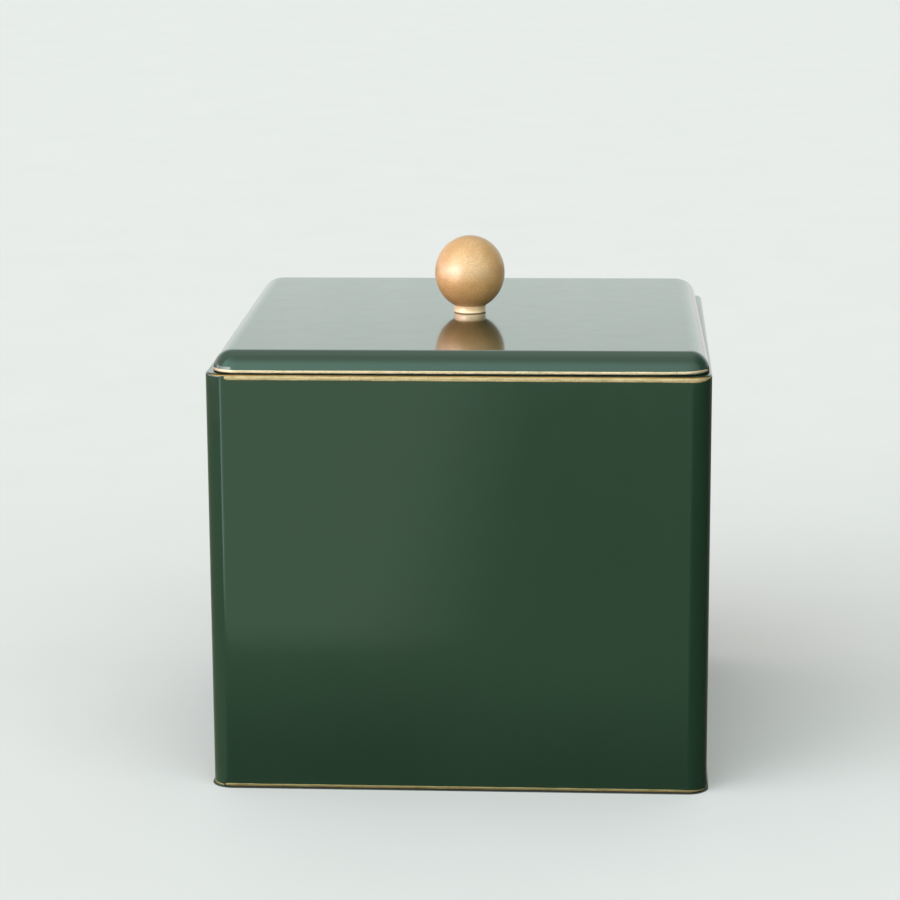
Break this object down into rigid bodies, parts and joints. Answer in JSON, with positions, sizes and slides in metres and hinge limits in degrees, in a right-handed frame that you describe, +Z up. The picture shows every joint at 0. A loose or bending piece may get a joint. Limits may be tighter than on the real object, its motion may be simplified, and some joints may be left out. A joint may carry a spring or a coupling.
{
  "type": "coffee tin",
  "caption": "Square sheet-metal tin with rounded corners, a hemmed foot, a turned-in mouth and a lift-off cap lid with a ball knob, for keeping coffee.",
  "frame": {"origin": "middle of the foot that the tin stands on", "axes": "+Z up, +X to the right, the front face at -Y"},
  "size_m": [0.15, 0.15, 0.1587],
  "materials": {
    "green_lacquer": "gloss enamel, dark green",
    "tinplate": "bare tinplate, dull",
    "gold_gilt": "satin gold, fine grained",
    "copper_gilt": "smooth bright copper gold",
    "zinc_steel": "zinc plated"
  },
  "bodies": {
    "tin": {"body_wall": "green_lacquer", "base_panel": "tinplate"},
    "lid": {"lid_cap": "green_lacquer", "lid_collar": "tinplate", "knob_neck": "copper_gilt", "knob_ball": "gold_gilt", "knob_washer": "zinc_steel", "knob_screw": "zinc_steel"}
  },
  "joints": [
    {"name": "lid_lift", "type": "slide", "parent": "tin", "child": "lid", "axis": [0, 0, 1], "range_m": [0, 0.15]}
  ]
}
